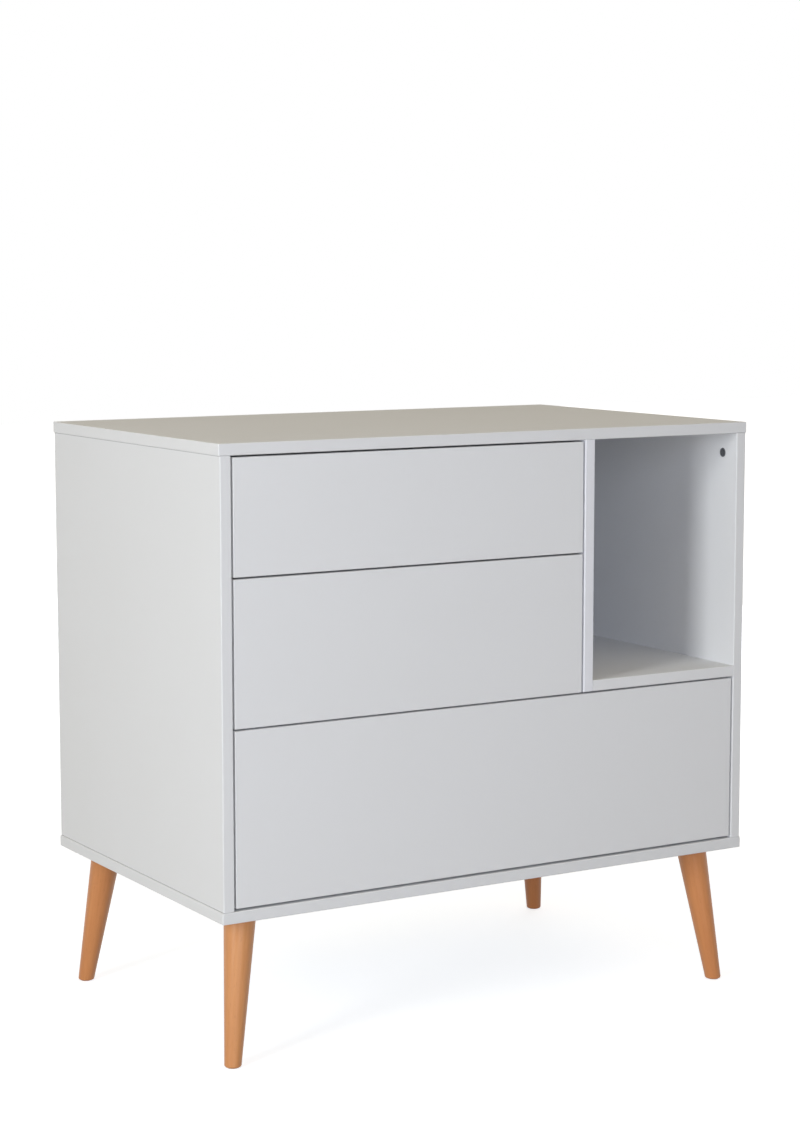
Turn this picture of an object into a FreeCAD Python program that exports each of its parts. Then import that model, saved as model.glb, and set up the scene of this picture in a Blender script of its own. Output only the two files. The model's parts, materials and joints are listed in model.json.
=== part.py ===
import FreeCAD, Part

import os

import Sketcher
from FreeCAD import Placement, Rotation, Vector

# A changing dresser: three handle-less drawers beside and under an open niche, in a carcass of
# lacquered boards on four splayed, tapered wooden legs.
# Frame: millimetres, origin on the floor under the middle of the carcass, +X to the right of
# someone facing the drawers, +Y into the depth, +Z up. The drawers open towards -Y.

SIZES = {
    # carcass
    "width": 972,
    "depth": 600,
    "carcass_height": 714,
    "board": 18,
    "slab_overhang": 2,
    "edge_round": 1.5,
    "end_round": 0.8,
    "niche_width": 285,
    # back panel, held in grooves
    "back_thickness": 4,
    "back_inset": 12,
    "groove_depth": 6,
    "groove_play": 0.1,
    "groove_end_play": 1,
    # drawer fronts and the reveals around them
    "top_front_height": 176,
    "middle_front_height": 222,
    "reveal_top": 3,
    "reveal_between": 3,
    "reveal_bottom": 4,
    "reveal_side": 3.5,
    "front_setback": 1,
    "front_round": 0.8,
    # drawer boxes behind the fronts
    "box_board": 12,
    "box_round": 1,
    "rear_clearance": 65,
    "box_lift": 20,
    "box_drop": 30,
    "box_floor_thickness": 4,
    "box_floor_rise": 10,
    # three-member runners, one pair to a drawer
    "runner_gap": 12.7,
    "runner_rise": 45,
    "runner_setback": 3,
    "travel_reserve": 20,
    "rail_gauge": 1.2,
    "web_clearance": 0.8,
    "cabinet_rail_height": 45.7,
    "cabinet_flange_clearance": 3.5,
    "middle_rail_height": 34.6,
    "middle_flange_clearance": 1,
    "drawer_rail_height": 24,
    "drawer_flange_clearance": 1.2,
    "drawer_rail_setback": 3,
    "ball_play": 0.3,
    "cage_width": 5,
    "cage_thickness": 0.8,
    "cage_margin": 10,
    # screws of the runners
    "runner_screw_end": 35,
    "screw_radius": 1.75,
    "screw_head_radius": 3.3,
    "screw_length": 10,
    "screw_play": 0.1,
    # push-to-open catches in the rear ends of the outer rails
    "catch_gap": 3,
    "catch_length": 34,
    "catch_clearance": 1.7,
    "catch_height": 22,
    "catch_slot_length": 18,
    "catch_slot_depth": 6,
    "catch_slot_height": 8,
    "striker_length": 13,
    "striker_height": 6,
    "striker_pin_radius": 1.5,
    "striker_pin_length": 5,
    "striker_pin_end": 3,
    # cam locks, cam bolts and dowels of the panel joints
    "cam_radius": 7.5,
    "cam_depth": 12.5,
    "cam_play": 0.1,
    "cam_reach": 34,
    "cam_row": 37,
    "cam_recess": 8,
    "cam_recess_width": 1.6,
    "cam_recess_depth": 2.5,
    "cam_bolt_bore_radius": 3.6,
    "bolt_bore_radius": 4,
    "bolt_shank_radius": 3.3,
    "bolt_neck_radius": 2,
    "bolt_head_radius": 3.2,
    "bolt_head_length": 4,
    "bolt_neck_length": 5,
    "bolt_thread_radius": 2.5,
    "bolt_thread_length": 11,
    "dowel_pitch": 32,
    "dowel_radius": 4,
    "dowel_length": 30,
    "dowel_in_face": 10,
    "dowel_play": 0.05,
    "dowel_end_play": 1,
    # dowels of the drawer boxes
    "box_dowel_radius": 3,
    "box_dowel_length": 25,
    "box_dowel_in_front": 11,
    "box_dowel_in_side": 8,
    "box_dowel_rise": 30,
    "box_dowel_drop": 25,
    # screws of the back panel
    "back_screw_radius": 1.5,
    "back_screw_length": 16,
    "back_screw_head_radius": 3.5,
    "back_screw_head_height": 1.6,
    "back_screw_end": 70,
    # legs
    "leg_height": 229,
    "leg_inset": 59,
    "leg_splay": 29.5,
    "leg_top_radius": 25,
    "leg_foot_radius": 13,
    "leg_foot_round": 3,
    "leg_bolt_radius": 4,
    "leg_bolt_in_leg": 30,
    "leg_bolt_end_play": 1,
    "leg_insert_radius": 6,
    "leg_insert_height": 13,
    "glide_radius": 9,
    "glide_thickness": 1,
    "glide_nail_radius": 1,
    "glide_nail_length": 9,
    "leg_fit_play": 0.05,
}

# Places that follow from the driving sizes.
LAYOUT = {
    "half_depth": "Sizes.depth / 2",
    "deck": "Sizes.leg_height + Sizes.board",
    "ceiling": "Sizes.leg_height + Sizes.carcass_height - Sizes.board",
    "inner_height": "Layout.ceiling - Layout.deck",
    "inner_half": "Sizes.width / 2 - Sizes.slab_overhang - Sizes.board",
    "divider_right": "Layout.inner_half - Sizes.niche_width",
    "divider_left": "Layout.divider_right - Sizes.board",
    "front_back": "Sizes.front_setback + Sizes.board - Layout.half_depth",
    "back_face": "Layout.half_depth - Sizes.back_inset - Sizes.back_thickness",
    "top_front_bottom": "Layout.ceiling - Sizes.reveal_top - Sizes.top_front_height",
    "shelf_under": "Layout.top_front_bottom - Sizes.reveal_between - Sizes.middle_front_height",
    "shelf_top": "Layout.shelf_under + Sizes.board",
    "bottom_front_bottom": "Layout.deck + Sizes.reveal_bottom",
    "bottom_front_height": "Layout.shelf_under - Sizes.reveal_between - Layout.bottom_front_bottom",
    "groove_width": "Sizes.back_thickness + 2 * Sizes.groove_play",
    "groove_y": "Layout.back_face - Sizes.groove_play + Layout.half_depth",
    "groove_reach": "Sizes.groove_depth - Sizes.groove_end_play",
    "front_row": "Sizes.cam_row - Layout.half_depth",
    "rear_row": "Layout.half_depth - Sizes.cam_row",
    "inner_rear_row": "Layout.back_face - Sizes.cam_row",
    "box_rear": "Layout.back_face - Sizes.rear_clearance",
    "box_depth": "Layout.box_rear - Layout.front_back",
    "runner_length": "Layout.box_depth",
    "travel": "Layout.runner_length - Sizes.travel_reserve",
    "rail_front": "Layout.front_back + Sizes.runner_setback",
    "catch_front": "Layout.rail_front + Layout.runner_length - Sizes.catch_length",
    "catch_thickness": "Sizes.runner_gap - Sizes.rail_gauge - Sizes.catch_clearance",
    "middle_rail_length": "Layout.catch_front - Sizes.catch_gap - Layout.rail_front",
    "drawer_rail_length": "Layout.middle_rail_length - Sizes.drawer_rail_setback",
    "cabinet_rail_flange": "Sizes.runner_gap - Sizes.cabinet_flange_clearance",
    "middle_rail_offset": "Sizes.rail_gauge + Sizes.web_clearance",
    "middle_rail_flange": "Sizes.runner_gap - Sizes.rail_gauge - Sizes.middle_flange_clearance"
                          " - Layout.middle_rail_offset",
    "drawer_rail_flange": "Sizes.runner_gap - Sizes.rail_gauge - Sizes.drawer_flange_clearance"
                          " - Layout.middle_rail_offset",
    "cage_length": "Layout.middle_rail_length - Layout.travel / 2 - 2 * Sizes.cage_margin",
    "cage_front": "Layout.rail_front + Layout.travel / 4 + Sizes.cage_margin",
    "outer_race": "Sizes.cabinet_rail_height / 2 - Sizes.rail_gauge",
    "outer_ball": "(Layout.outer_race - Sizes.middle_rail_height / 2) / 2 - Sizes.ball_play",
    "inner_race": "Sizes.middle_rail_height / 2 - Sizes.rail_gauge",
    "inner_ball": "(Layout.inner_race - Sizes.drawer_rail_height / 2) / 2 - Sizes.ball_play",
    "leg_x": "Sizes.width / 2 - Sizes.leg_inset",
    "leg_y": "Layout.half_depth - Sizes.leg_inset",
    "leg_lean": "atan(sqrt(2) * Sizes.leg_splay / Sizes.leg_height)",
    "leg_length": "Sizes.leg_height / cos(Layout.leg_lean)",
    "leg_taper": "(Sizes.leg_top_radius - Sizes.leg_foot_radius) / Layout.leg_length",
    "leg_spare": "Sizes.leg_top_radius",
    "leg_bolt_in_board": "Sizes.leg_insert_height - Sizes.leg_bolt_end_play",
}

# Each drawer: its bay's left and right walls, and the lower edge and height of its front.
DRAWERS = {
    "top_drawer": ("-Layout.inner_half", "Layout.divider_left",
                   "Layout.top_front_bottom", "Sizes.top_front_height"),
    "middle_drawer": ("-Layout.inner_half", "Layout.divider_left",
                      "Layout.shelf_under", "Sizes.middle_front_height"),
    "bottom_drawer": ("-Layout.inner_half", "Layout.inner_half",
                      "Layout.bottom_front_bottom", "Layout.bottom_front_height"),
}

BALLS_PER_CAGE = 5
TOLERANCE = 0.01
# A rotation of 0 has no axis, so one whose angle is bound later starts with this angle.
ANY_ANGLE = 10

X_AXIS = Vector(1, 0, 0)
Y_AXIS = Vector(0, 1, 0)
Z_AXIS = Vector(0, 0, 1)

doc = FreeCAD.newDocument("ChangingDresser")
nodes = []


# ---------------------------------------------------------------- sheets and helpers

def fill_sheet(name, cells, formula):
    """Writes a sheet of named cells, one to a row."""
    sheet = doc.addObject("Spreadsheet::Sheet", name)
    for row, (alias, content) in enumerate(cells.items(), start=1):
        sheet.set(f"A{row}", alias)
        sheet.set(f"B{row}", f"={content}" if formula else str(content))
        sheet.setAlias(f"B{row}", alias)
    doc.recompute()
    return sheet


def drawer_layout(name, left, right, bottom, height):
    """The places of one drawer: its bay, its front, its box and its runners' axis."""
    return {
        f"{name}_bay_left": left,
        f"{name}_bay_right": right,
        f"{name}_middle": f"(Layout.{name}_bay_left + Layout.{name}_bay_right) / 2",
        f"{name}_front_bottom": bottom,
        f"{name}_front_height": height,
        f"{name}_box_left": f"Layout.{name}_bay_left + Sizes.runner_gap",
        f"{name}_box_right": f"Layout.{name}_bay_right - Sizes.runner_gap",
        f"{name}_box_inner_left": f"Layout.{name}_box_left + Sizes.box_board",
        f"{name}_box_inner_right": f"Layout.{name}_box_right - Sizes.box_board",
        f"{name}_box_bottom": f"Layout.{name}_front_bottom + Sizes.box_lift",
        f"{name}_box_height": f"Layout.{name}_front_height - Sizes.box_lift - Sizes.box_drop",
        f"{name}_rail_axis": f"Layout.{name}_box_bottom + Sizes.runner_rise",
    }


def bind(thing, expressions):
    """Ties properties of an object to expressions."""
    for path, expression in expressions.items():
        thing.setExpression(path, expression)


def place(thing, x, y, z, rotation=None):
    """Puts an object's own origin at x, y, z, turned by a fixed rotation."""
    thing.Placement = Placement(Vector(), rotation or Rotation())
    bind(thing, {"Placement.Base.x": x, "Placement.Base.y": y, "Placement.Base.z": z})
    return thing


def name_node(thing, name):
    """Gives a finished sub-part the name that its file gets."""
    thing.Label = name
    nodes.append(thing)
    return thing


def box(name, x, y, z, length, width, height):
    """A box from its lowest corner and its sides along X, Y and Z."""
    solid = doc.addObject("Part::Box", name)
    bind(solid, {"Length": length, "Width": width, "Height": height})
    return place(solid, x, y, z)


def cylinder(name, radius, height, x="0", y="0", z="0", rotation=None):
    """A cylinder that rises from x, y, z along Z, or along the turned Z."""
    solid = doc.addObject("Part::Cylinder", name)
    bind(solid, {"Radius": radius, "Height": height})
    return place(solid, x, y, z, rotation)


def fuse(name, shapes):
    """One shape of several."""
    if len(shapes) == 1:
        return shapes[0]
    solid = doc.addObject("Part::MultiFuse", name)
    solid.Shapes = shapes
    return solid


def cut(name, base, tools):
    """The base without the tools."""
    solid = doc.addObject("Part::Cut", name)
    solid.Base = base
    solid.Tool = fuse(f"{name}_tools", tools)
    return solid


def copies(name, master, sites):
    """Links to one master, each at a site: x, y, z and a rotation."""
    links = []
    for number, (x, y, z, rotation) in enumerate(sites, start=1):
        link = doc.addObject("App::Link", f"{name}_{number}")
        link.LinkedObject = master
        link.LinkTransform = True
        links.append(place(link, x, y, z, rotation))
    return links


def group(name, members):
    """Several equal pieces, each its own solid, as one sub-part."""
    compound = doc.addObject("Part::Compound", name)
    compound.Links = members
    return name_node(compound, name)


def mirrored(name, source, middle):
    """The mirror image of a piece, in the plane across X at the middle."""
    image = doc.addObject("Part::Mirroring", name)
    image.Source = source
    image.Normal = X_AXIS
    image.setExpression("Base.x", middle)
    return image


def pair(name, left, middle):
    """A left-hand piece and its mirror image, as one sub-part."""
    return group(name, [left, mirrored(f"{name}_right_hand", left, middle)])


def outline(body, plane, name, points):
    """A closed sketch on an origin plane of the body, each corner tied to its expressions."""
    sketch = body.newObject("Sketcher::SketchObject", name)
    support = next(f for f in body.Origin.OriginFeatures if f.Role == plane)
    sketch.AttachmentSupport = [(support, "")]
    sketch.MapMode = "FlatFace"
    corners = [Vector(float(sketch.evalExpression(u)), float(sketch.evalExpression(v)), 0)
               for u, v in points]
    count = len(corners)
    for i in range(count):
        sketch.addGeometry(Part.LineSegment(corners[i], corners[(i + 1) % count]), False)
    for i in range(count):
        sketch.addConstraint(Sketcher.Constraint("Coincident", i, 2, (i + 1) % count, 1))
    for i, (u, v) in enumerate(points):
        tie_corner(sketch, i, "DistanceX", -2, u, corners[i].x)
        tie_corner(sketch, i, "DistanceY", -1, v, corners[i].y)
    return sketch


def tie_corner(sketch, corner, kind, axis, expression, value):
    """Ties one coordinate of a sketch corner, measured from the sketch's origin."""
    if expression == "0":
        sketch.addConstraint(Sketcher.Constraint("PointOnObject", corner, 1, axis))
        return
    ends = (-1, 1, corner, 1) if value > 0 else (corner, 1, -1, 1)
    index = sketch.addConstraint(Sketcher.Constraint(kind, *ends, abs(value)))
    sign = "" if value > 0 else "-"
    sketch.setExpression(f"Constraints[{index}]", f"{sign}({expression})")


def rectangle(left, bottom, width, height):
    """The corners of a rectangle, as expressions."""
    right = width if left == "0" else f"{left} + {width}"
    top = height if bottom == "0" else f"{bottom} + {height}"
    return [(left, bottom), (right, bottom), (right, top), (left, top)]


def pad(body, sketch, length, backwards):
    """Extrudes a sketch along its normal, or backwards."""
    feature = body.newObject("PartDesign::Pad", f"{sketch.Name}_pad")
    feature.Profile = sketch
    feature.Reversed = backwards
    feature.setExpression("Length", length)
    return feature


def pocket(body, sketch, depth, backwards):
    """Cuts a sketch into the body, against the sketch's normal, or backwards."""
    before = body.Shape.Volume
    feature = body.newObject("PartDesign::Pocket", f"{sketch.Name}_pocket")
    feature.Profile = sketch
    feature.Reversed = backwards
    feature.setExpression("Length", depth)
    doc.recompute()
    if body.Shape.Volume >= before:
        raise RuntimeError(f"{feature.Name} cuts nothing")
    return feature


def edges_where(shape, test):
    """The names of the edges whose bounding box passes the test."""
    return [f"Edge{i}" for i, edge in enumerate(shape.Edges, start=1) if test(edge.BoundBox)]


def size(alias):
    """A driving size's present value, for choosing edges."""
    return float(sizes.get(alias))


def soften(body, edges, radius):
    """Rounds the edges of a body's last feature that pass the test."""
    last = body.Tip
    fillet = body.newObject("PartDesign::Fillet", f"{body.Name}_edges")
    fillet.Base = (last, edges_where(last.Shape, edges))
    fillet.setExpression("Radius", radius)
    doc.recompute()


def board(name, plane, backwards, across, along, thickness, roundings=(), grooves=()):
    """A board that starts as a rectangle on one of its body's origin planes.

    The plane is the board's reference face: its lower left corner is the body's origin, the
    grooves go in from it, and the thickness goes away from it. A rounding is a test that picks
    edges, with their radius; a groove is its outline, with its depth.
    """
    body = doc.addObject("PartDesign::Body", name)
    sketch = outline(body, plane, f"{name}_face", rectangle("0", "0", across, along))
    pad(body, sketch, thickness, backwards)
    doc.recompute()
    for edges, radius in roundings:
        soften(body, edges, radius)
    for number, (corners, depth) in enumerate(grooves, start=1):
        groove = outline(body, plane, f"{name}_groove_{number}", corners)
        pocket(body, groove, depth, not backwards)
    return body


def facing(out, along=None):
    """The rotation that turns Z to face out and, if given, X to point along."""
    return Rotation(along or Vector(), Vector(), out, "ZXY")


sizes = fill_sheet("Sizes", SIZES, formula=False)
places = dict(LAYOUT)
for drawer, facts in DRAWERS.items():
    places.update(drawer_layout(drawer, *facts))
fill_sheet("Layout", places, formula=True)


# ---------------------------------------------------------------- fasteners and their bores

LENGTHWAYS = facing(X_AXIS)


def cam_lock():
    """A round cam: flush face up, a bore for the bolt's head along X, a cross recess on top."""
    housing = cylinder("cam_housing", "Sizes.cam_radius", "Sizes.cam_depth",
                       z="-Sizes.cam_depth")
    bore = cylinder("cam_bore", "Sizes.cam_bolt_bore_radius",
                    "2 * Sizes.cam_radius", x="-Sizes.cam_bolt_bore_radius",
                    z="-Sizes.board / 2", rotation=LENGTHWAYS)
    slots = [
        box("cam_slot_long", "-Sizes.cam_recess / 2", "-Sizes.cam_recess_width / 2",
            "-Sizes.cam_recess_depth", "Sizes.cam_recess", "Sizes.cam_recess_width",
            "Sizes.cam_recess_depth"),
        box("cam_slot_cross", "-Sizes.cam_recess_width / 2", "-Sizes.cam_recess / 2",
            "-Sizes.cam_recess_depth", "Sizes.cam_recess_width", "Sizes.cam_recess",
            "Sizes.cam_recess_depth"),
    ]
    return cut("cam_master", housing, [bore, *slots])


def cam_bolt():
    """The bolt from a cam's middle, along X, through the joint and into the face board."""
    head_start = "-Sizes.bolt_head_length / 2"
    neck_start = "Sizes.bolt_head_length / 2"
    shank_start = f"{neck_start} + Sizes.bolt_neck_length"
    stations = [
        ("head", "Sizes.bolt_head_radius", head_start, "Sizes.bolt_head_length"),
        ("neck", "Sizes.bolt_neck_radius", neck_start, "Sizes.bolt_neck_length"),
        ("shank", "Sizes.bolt_shank_radius", shank_start,
         f"Sizes.cam_reach - ({shank_start})"),
        ("thread", "Sizes.bolt_thread_radius", "Sizes.cam_reach", "Sizes.bolt_thread_length"),
    ]
    return fuse("cam_bolt_master", [
        cylinder(f"cam_bolt_{part}", radius, length, x=start, z="-Sizes.board / 2",
                 rotation=LENGTHWAYS)
        for part, radius, start, length in stations])


def cam_drill():
    """What a cam joint takes out of its two boards."""
    return fuse("cam_drill_master", [
        cylinder("cam_drill_housing", "Sizes.cam_radius + Sizes.cam_play",
                 "Sizes.cam_depth + Sizes.cam_play", z="-Sizes.cam_depth - Sizes.cam_play"),
        cylinder("cam_drill_bolt", "Sizes.bolt_bore_radius", "Sizes.cam_reach",
                 z="-Sizes.board / 2", rotation=LENGTHWAYS),
        cylinder("cam_drill_thread", "Sizes.bolt_thread_radius + Sizes.cam_play",
                 "Sizes.bolt_thread_length + Sizes.dowel_end_play", x="Sizes.cam_reach",
                 z="-Sizes.board / 2", rotation=LENGTHWAYS),
    ])


def dowel(name, radius, length, start, height):
    """A plain pin along X, from its start."""
    return cylinder(name, radius, length, x=start, z=height, rotation=LENGTHWAYS)


def flat_screw(name, play):
    """A countersunk screw: its head fills the rail's sheet above Z = 0, its shank goes down."""
    head = doc.addObject("Part::Cone", f"{name}_head")
    bind(head, {"Radius1": f"Sizes.screw_radius + {play}",
                "Radius2": f"Sizes.screw_head_radius + {play}",
                "Height": "Sizes.rail_gauge"})
    shank = cylinder(f"{name}_shank", f"Sizes.screw_radius + {play}",
                     f"Sizes.screw_length + {play}", z=f"-Sizes.screw_length - {play}")
    return fuse(name, [head, shank])


def back_screw():
    """A pan-head screw of the back panel: head above Z = 0, shank below."""
    return fuse("back_screw_master", [
        cylinder("back_screw_head", "Sizes.back_screw_head_radius",
                 "Sizes.back_screw_head_height"),
        cylinder("back_screw_shank", "Sizes.back_screw_radius", "Sizes.back_screw_length",
                 z="-Sizes.back_screw_length"),
    ])


CAM = cam_lock()
CAM_BOLT = cam_bolt()
CAM_DRILL = cam_drill()
DOWEL = dowel("dowel_master", "Sizes.dowel_radius", "Sizes.dowel_length",
              "Sizes.cam_reach + Sizes.dowel_in_face - Sizes.dowel_length",
              "-Sizes.board / 2")
DOWEL_DRILL = dowel("dowel_drill_master", "Sizes.dowel_radius + Sizes.dowel_play",
                    "Sizes.dowel_length + 2 * Sizes.dowel_end_play",
                    "Sizes.cam_reach + Sizes.dowel_in_face - Sizes.dowel_length"
                    " - Sizes.dowel_end_play", "-Sizes.board / 2")
BOX_DOWEL = dowel("box_dowel_master", "Sizes.box_dowel_radius", "Sizes.box_dowel_length",
                  "-Sizes.box_dowel_length", "0")
BOX_DOWEL_DRILL = dowel("box_dowel_drill_master", "Sizes.box_dowel_radius + Sizes.dowel_play",
                        "Sizes.box_dowel_length + 2 * Sizes.dowel_end_play",
                        "-Sizes.box_dowel_length - Sizes.dowel_end_play", "0")
SCREW = flat_screw("runner_screw_master", "0")
SCREW_DRILL = flat_screw("runner_screw_drill_master", "Sizes.screw_play")
BACK_SCREW = back_screw()
BACK_SCREW_DRILL = cylinder("back_screw_drill_master",
                            "Sizes.back_screw_radius + Sizes.screw_play",
                            "Sizes.back_screw_length + Sizes.dowel_end_play",
                            z="-Sizes.back_screw_length - Sizes.dowel_end_play")


# ---------------------------------------------------------------- where the joints are

def panel_joints():
    """Each joint: the edge board, the face board, x, z, the rear row and the rotation."""
    top = "Layout.ceiling - Sizes.cam_reach"
    bottom = "Layout.deck + Sizes.cam_reach"
    joints = []
    for side, sign in (("left", -1), ("right", 1)):
        x = f"{sign} * Layout.inner_half"
        inwards = -sign * X_AXIS
        joints += [
            (f"{side}_side_panel", "top_panel", x, top, "Layout.rear_row",
             facing(inwards, Z_AXIS)),
            (f"{side}_side_panel", "bottom_panel", x, bottom, "Layout.rear_row",
             facing(inwards, -Z_AXIS)),
        ]
    joints += [
        ("divider", "top_panel", "Layout.divider_left", top, "Layout.inner_rear_row",
         facing(-X_AXIS, Z_AXIS)),
        ("niche_floor", "divider", "Layout.divider_right + Sizes.cam_reach",
         "Layout.shelf_under", "Layout.inner_rear_row", facing(-Z_AXIS, -X_AXIS)),
        ("niche_floor", "right_side_panel", "Layout.inner_half - Sizes.cam_reach",
         "Layout.shelf_under", "Layout.inner_rear_row", facing(-Z_AXIS, X_AXIS)),
    ]
    return joints


def joint_sites(board_name=None):
    """The cam sites and the dowel sites of every joint, or of the joints of one board."""
    cams = []
    dowels = []
    for edge, face, x, z, rear, rotation in panel_joints():
        if board_name not in (None, edge, face):
            continue
        cams += [(x, "Layout.front_row", z, rotation), (x, rear, z, rotation)]
        dowels += [(x, "Layout.front_row + Sizes.dowel_pitch", z, rotation),
                   (x, f"{rear} - Sizes.dowel_pitch", z, rotation)]
    return cams, dowels


def rail_screw_rows():
    """The places along Y of the three screws of a rail."""
    return ["Layout.rail_front + Sizes.runner_screw_end",
            "Layout.rail_front + Layout.drawer_rail_length / 2",
            "Layout.rail_front + Layout.drawer_rail_length - Sizes.runner_screw_end"]


def cabinet_screw_sites(drawer, side):
    """The screws that hold a drawer's outer rail to the left or right wall of its bay."""
    out = X_AXIS if side == "left" else -X_AXIS
    return [(f"Layout.{drawer}_bay_{side}", y, f"Layout.{drawer}_rail_axis", facing(out))
            for y in rail_screw_rows()]


def drawer_screw_sites(drawer, side):
    """The screws that hold an inner rail to the left or right side of the drawer's box."""
    out = -X_AXIS if side == "left" else X_AXIS
    return [(f"Layout.{drawer}_box_{side}", y, f"Layout.{drawer}_rail_axis", facing(out))
            for y in rail_screw_rows()]


def back_screw_sites():
    """The screws through the back panel into the rear edges of the divider and niche floor."""
    behind = "Layout.back_face + Sizes.back_thickness"
    divider_x = "Layout.divider_left + Sizes.board / 2"
    floor_z = "Layout.shelf_under + Sizes.board / 2"
    rotation = facing(Y_AXIS)
    return [
        (divider_x, behind, "Layout.shelf_top + Sizes.back_screw_end", rotation),
        (divider_x, behind, "(Layout.shelf_top + Layout.ceiling) / 2", rotation),
        (divider_x, behind, "Layout.ceiling - Sizes.back_screw_end", rotation),
        ("Layout.divider_right + Sizes.back_screw_end", behind, floor_z, rotation),
        ("Layout.inner_half - Sizes.back_screw_end", behind, floor_z, rotation),
    ]


def leg_corners():
    """The four corners of the carcass: name, sign along X, sign along Y."""
    return [("front_left", -1, -1), ("front_right", 1, -1),
            ("rear_left", -1, 1), ("rear_right", 1, 1)]


# ---------------------------------------------------------------- the carcass

def drilled(name, blank, rails=(), inserts=(), back_screws=False):
    """A board with the bores of its joints, rails, leg inserts and back panel screws."""
    cams, dowels = joint_sites(name)
    tools = copies(f"{name}_cam_bore", CAM_DRILL, cams)
    tools += copies(f"{name}_dowel_bore", DOWEL_DRILL, dowels)
    for drawer, side in rails:
        tools += copies(f"{name}_{drawer}_bore", SCREW_DRILL, cabinet_screw_sites(drawer, side))
    tools += list(inserts)
    if back_screws:
        tools += copies(f"{name}_back_bore", BACK_SCREW_DRILL, back_screw_sites())
    return name_node(cut(name, blank, tools), name)


def slab(name, z, backwards):
    """The top or bottom panel: rounded all round but for the rear, grooved for the back."""
    def not_rear(edge):
        return edge.YMin < size("depth") - TOLERANCE
    groove = rectangle("Sizes.slab_overhang + Sizes.board - Sizes.groove_depth",
                       "Layout.groove_y",
                       "2 * Layout.inner_half + 2 * Sizes.groove_depth",
                       "Layout.groove_width")
    blank = board(f"{name}_blank", "XY_Plane", backwards, "Sizes.width", "Sizes.depth",
                  "Sizes.board", [(not_rear, "Sizes.edge_round")],
                  [(groove, "Sizes.groove_depth")])
    return place(blank, "-Sizes.width / 2", "-Layout.half_depth", z)


def leg_insert_bores():
    """The blind bores for the leg inserts, in the underside of the bottom panel."""
    return [cylinder(f"{corner}_insert_bore", "Sizes.leg_insert_radius + Sizes.leg_fit_play",
                     "Sizes.leg_insert_height + Sizes.leg_fit_play",
                     f"{along} * Layout.leg_x", f"{deep} * Layout.leg_y", "Sizes.leg_height")
            for corner, along, deep in leg_corners()]


def side_panel(name, x, backwards):
    """A side panel: front edges rounded, outer ends eased, and a groove for the back panel."""
    def front_upright(edge):
        return edge.YMax < TOLERANCE and edge.ZLength > TOLERANCE

    def outer_end(edge):
        outer = abs(edge.XMin + edge.XMax) / 2 > size("board") - TOLERANCE
        return outer and edge.YLength > size("depth") / 2
    groove = rectangle("Layout.groove_y", "0", "Layout.groove_width", "Layout.inner_height")
    blank = board(f"{name}_blank", "YZ_Plane", backwards, "Sizes.depth", "Layout.inner_height",
                  "Sizes.board",
                  [(front_upright, "Sizes.edge_round"), (outer_end, "Sizes.end_round")],
                  [(groove, "Sizes.groove_depth")])
    return place(blank, x, "-Layout.half_depth", "Layout.deck")


def divider():
    """The wall between the upper drawers and the niche, down to the niche floor's underside."""
    def front_but_top(edge):
        return edge.YMax < TOLERANCE and edge.ZMin < TOLERANCE
    blank = board("divider_blank", "YZ_Plane", False, "Layout.back_face + Layout.half_depth",
                  "Layout.ceiling - Layout.shelf_under", "Sizes.board",
                  [(front_but_top, "Sizes.edge_round")])
    return place(blank, "Layout.divider_left", "-Layout.half_depth", "Layout.shelf_under")


def niche_floor():
    """The niche's floor, between the divider and the right side panel."""
    def front_long(edge):
        return edge.YMax < TOLERANCE and edge.XLength > TOLERANCE
    blank = board("niche_floor_blank", "XY_Plane", False, "Sizes.niche_width",
                  "Layout.back_face + Layout.half_depth", "Sizes.board",
                  [(front_long, "Sizes.edge_round")])
    return place(blank, "Layout.divider_right", "-Layout.half_depth", "Layout.shelf_under")


def back_panel():
    """The thin back, held in the grooves of the slabs and the side panels."""
    blank = board("back_panel_blank", "XZ_Plane", True,
                  "2 * Layout.inner_half + 2 * Layout.groove_reach",
                  "Layout.inner_height + 2 * Layout.groove_reach", "Sizes.back_thickness")
    place(blank, "-Layout.inner_half - Layout.groove_reach", "Layout.back_face",
          "Layout.deck - Layout.groove_reach")
    bores = copies("back_panel_bore", BACK_SCREW_DRILL, back_screw_sites())
    return name_node(cut("back_panel", blank, bores), "back_panel")


def carcass():
    """The boards and what joins them."""
    left_rails = [(drawer, "left") for drawer in DRAWERS]
    drilled("top_panel", slab("top_panel", "Layout.ceiling", False))
    drilled("bottom_panel", slab("bottom_panel", "Layout.deck", True),
            inserts=leg_insert_bores())
    drilled("left_side_panel", side_panel("left_side_panel", "-Layout.inner_half", True),
            rails=left_rails)
    drilled("right_side_panel", side_panel("right_side_panel", "Layout.inner_half", False),
            rails=[("bottom_drawer", "right")])
    drilled("divider", divider(), rails=[("top_drawer", "right"), ("middle_drawer", "right")],
            back_screws=True)
    drilled("niche_floor", niche_floor(), back_screws=True)
    back_panel()
    cams, dowels = joint_sites()
    group("cam_locks", copies("cam_lock", CAM, cams))
    group("cam_bolts", copies("cam_bolt", CAM_BOLT, cams))
    group("dowels", copies("dowel", DOWEL, dowels))
    group("back_panel_screws", copies("back_panel_screw", BACK_SCREW, back_screw_sites()))
    screws = []
    for drawer in DRAWERS:
        for side in ("left", "right"):
            screws += copies(f"{drawer}_{side}_screw", SCREW, cabinet_screw_sites(drawer, side))
    group("cabinet_rail_screws", screws)


# ---------------------------------------------------------------- the legs

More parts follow.
